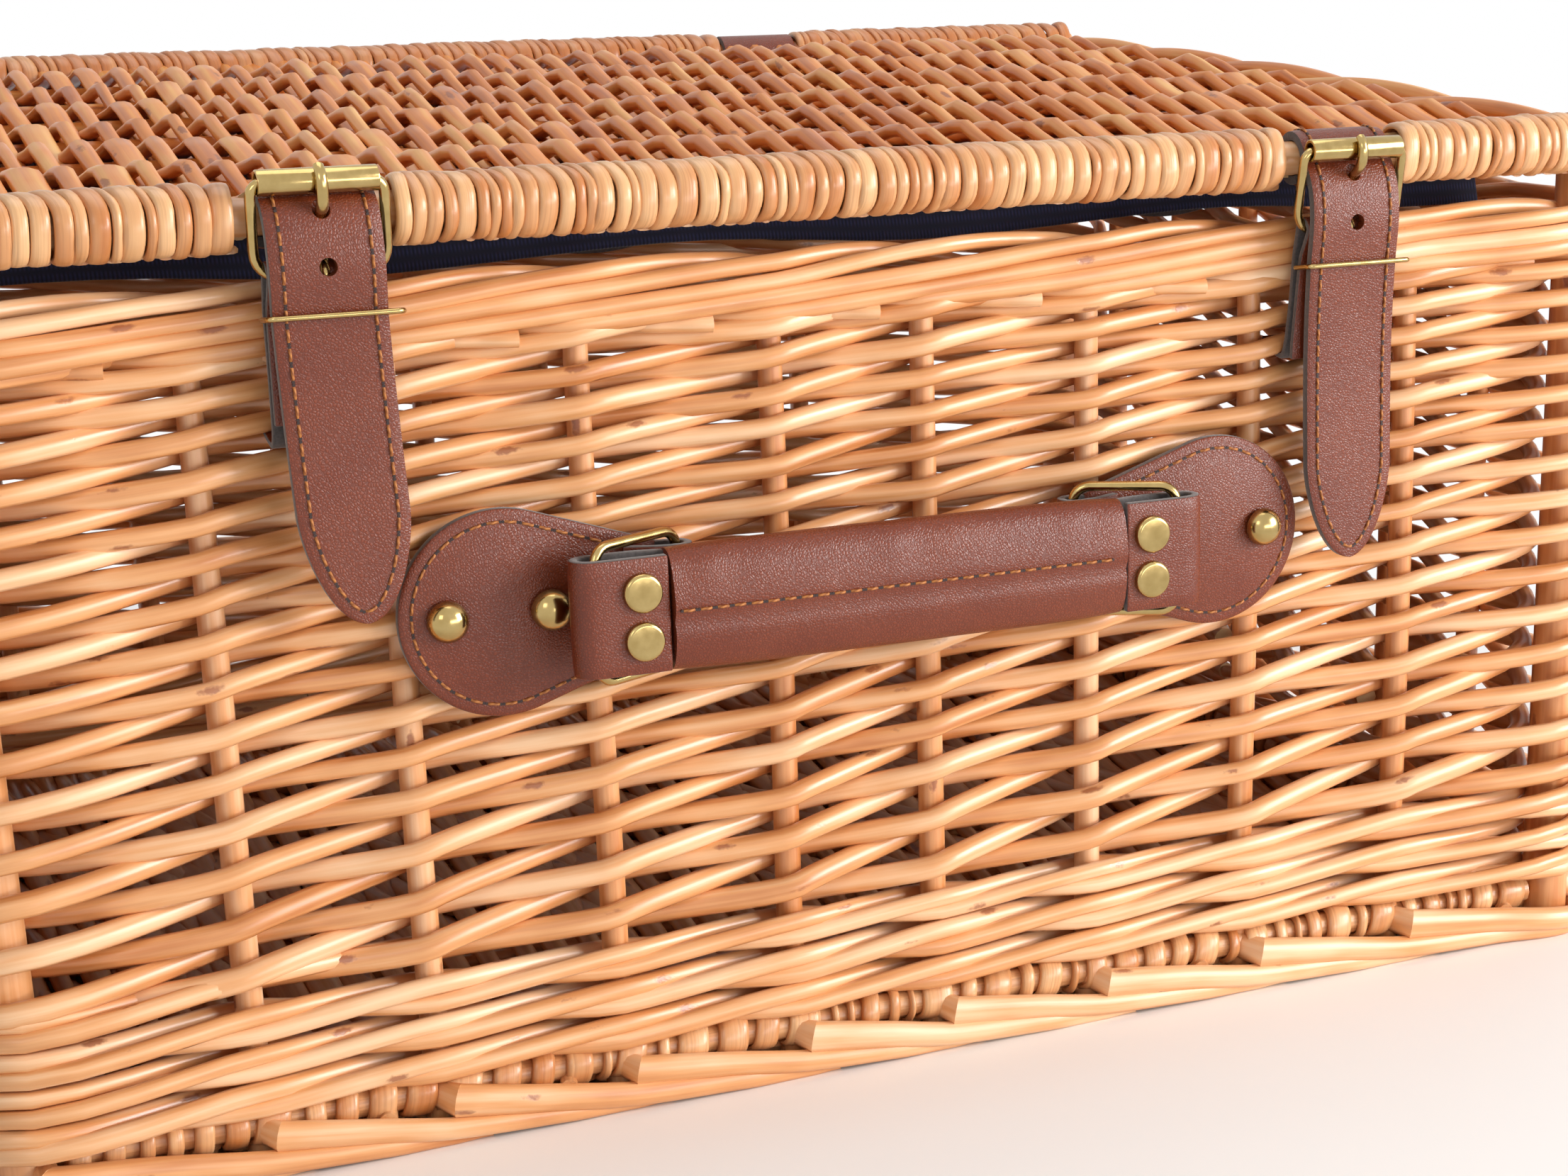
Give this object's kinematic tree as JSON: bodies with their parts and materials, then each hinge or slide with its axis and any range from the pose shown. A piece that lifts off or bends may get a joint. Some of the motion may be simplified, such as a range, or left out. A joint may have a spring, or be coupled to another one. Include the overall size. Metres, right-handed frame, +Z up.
{
  "type": "picnic basket",
  "caption": "Rectangular wicker picnic hamper with a hinged woven lid, leather buckle straps, a padded leather handle on wire rings and brass rivets.",
  "frame": {"origin": "on the floor, under the middle of the whole object", "axes": "+Z up, +X to the right along the front, and the front with its handle and buckles faces -Y"},
  "size_m": [0.427, 0.3444, 0.2248],
  "materials": {
    "willow": "satin",
    "split_willow": "satin",
    "leather": "satin",
    "brass": "polished",
    "lining_cloth": "matte"
  },
  "bodies": {
    "basket": {"base_panel": "willow", "foot_border": "willow", "lower_wale": "willow", "front_wall": "willow", "back_wall": "willow", "left_wall": "willow", "right_wall": "willow", "top_border": "willow", "front_left_post": "willow", "front_right_post": "willow", "back_left_post": "willow", "back_right_post": "willow", "hinge_loop_left": "leather", "hinge_loop_right": "leather", "buckle_strap_left": "leather", "buckle_strap_right": "leather", "keeper_left": "brass", "keeper_right": "brass", "handle_plate_left": "leather", "handle_plate_right": "leather", "dome_rivet_left_outer": "brass", "dome_rivet_left_inner": "brass", "dome_rivet_right_outer": "brass", "dome_rivet_right_inner": "brass"},
    "lid": {"lid_front_stick": "willow", "lid_back_stick": "willow", "lid_front_wrap_left": "split_willow", "lid_front_wrap_middle": "split_willow", "lid_front_wrap_right": "split_willow", "lid_back_wrap_left": "split_willow", "lid_back_wrap_middle": "split_willow", "lid_back_wrap_right": "split_willow", "lid_panel": "willow", "lid_left_border": "split_willow", "lid_right_border": "split_willow", "lid_lining": "lining_cloth", "lining_strap": "leather"},
    "left_tongue": {"tongue_left": "leather"},
    "right_tongue": {"tongue_right": "leather"},
    "left_buckle": {"buckle_frame_left": "brass"},
    "right_buckle": {"buckle_frame_right": "brass"},
    "left_prong": {"buckle_prong_left": "brass"},
    "right_prong": {"buckle_prong_right": "brass"},
    "left_roller": {"buckle_roller_left": "brass"},
    "right_roller": {"buckle_roller_right": "brass"},
    "handle": {"handle_strap": "leather", "handle_grip": "leather", "cap_rivet_left_upper": "brass", "cap_rivet_left_lower": "brass", "cap_rivet_right_upper": "brass", "cap_rivet_right_lower": "brass"},
    "left_ring": {"ring_left": "brass"},
    "right_ring": {"ring_right": "brass"}
  },
  "joints": [
    {"name": "lid_hinge", "type": "hinge", "parent": "basket", "child": "lid", "pos_m": [0, 0.16474, 0.2145], "axis": [-1, 0, 0], "range_deg": [0, 105], "deforming": ["tongue_left", "tongue_right"]},
    {"name": "left_tongue_hang", "type": "hinge", "parent": "lid", "child": "left_tongue", "pos_m": [-0.124, -0.15026, 0.2145], "axis": [-1, 0, 0], "range_deg": [-105, 0]},
    {"name": "right_tongue_hang", "type": "hinge", "parent": "lid", "child": "right_tongue", "pos_m": [0.124, -0.15026, 0.2145], "axis": [-1, 0, 0], "range_deg": [-105, 0]},
    {"name": "left_buckle_tilt", "type": "hinge", "parent": "basket", "child": "left_buckle", "pos_m": [-0.124, -0.15616, 0.203], "axis": [1, 0, 0], "range_deg": [0, 92]},
    {"name": "right_buckle_tilt", "type": "hinge", "parent": "basket", "child": "right_buckle", "pos_m": [0.124, -0.15616, 0.198], "axis": [1, 0, 0], "range_deg": [0, 92]},
    {"name": "left_prong_lift", "type": "hinge", "parent": "left_buckle", "child": "left_prong", "pos_m": [-0.124, -0.15616, 0.203], "axis": [1, 0, 0], "range_deg": [0, 15]},
    {"name": "right_prong_lift", "type": "hinge", "parent": "right_buckle", "child": "right_prong", "pos_m": [0.124, -0.15616, 0.198], "axis": [1, 0, 0], "range_deg": [0, 15]},
    {"name": "left_roller_spin", "type": "hinge", "parent": "left_buckle", "child": "left_roller", "pos_m": [-0.124, -0.15826, 0.2222], "axis": [1, 0, 0], "continuous": true},
    {"name": "right_roller_spin", "type": "hinge", "parent": "right_buckle", "child": "right_roller", "pos_m": [0.124, -0.15989, 0.2172], "axis": [1, 0, 0], "continuous": true},
    {"name": "handle_pull", "type": "slide", "parent": "basket", "child": "handle", "axis": [0, -1, 0], "range_m": [-0.0005, 0.0077]},
    {"name": "left_ring_swing", "type": "hinge", "parent": "basket", "child": "left_ring", "pos_m": [-0.05, -0.15546, 0.126], "axis": [0, 0, 1], "range_deg": [-5, 25]},
    {"name": "right_ring_swing", "type": "hinge", "parent": "basket", "child": "right_ring", "pos_m": [0.05, -0.15546, 0.126], "axis": [0, 0, -1], "range_deg": [-5, 25]}
  ],
  "couplings": [
    {"joint": "left_tongue_hang", "follows": "lid_hinge", "ratio": -1},
    {"joint": "right_tongue_hang", "follows": "lid_hinge", "ratio": -1},
    {"joint": "left_buckle_tilt", "follows": "lid_hinge", "ratio": 0.8761},
    {"joint": "right_buckle_tilt", "follows": "lid_hinge", "ratio": 0.8761},
    {"joint": "left_prong_lift", "follows": "lid_hinge", "ratio": 0.1428},
    {"joint": "right_prong_lift", "follows": "lid_hinge", "ratio": 0.1428},
    {"joint": "left_ring_swing", "follows": "handle_pull", "rad_per_m": 50},
    {"joint": "right_ring_swing", "follows": "handle_pull", "rad_per_m": 50}
  ]
}
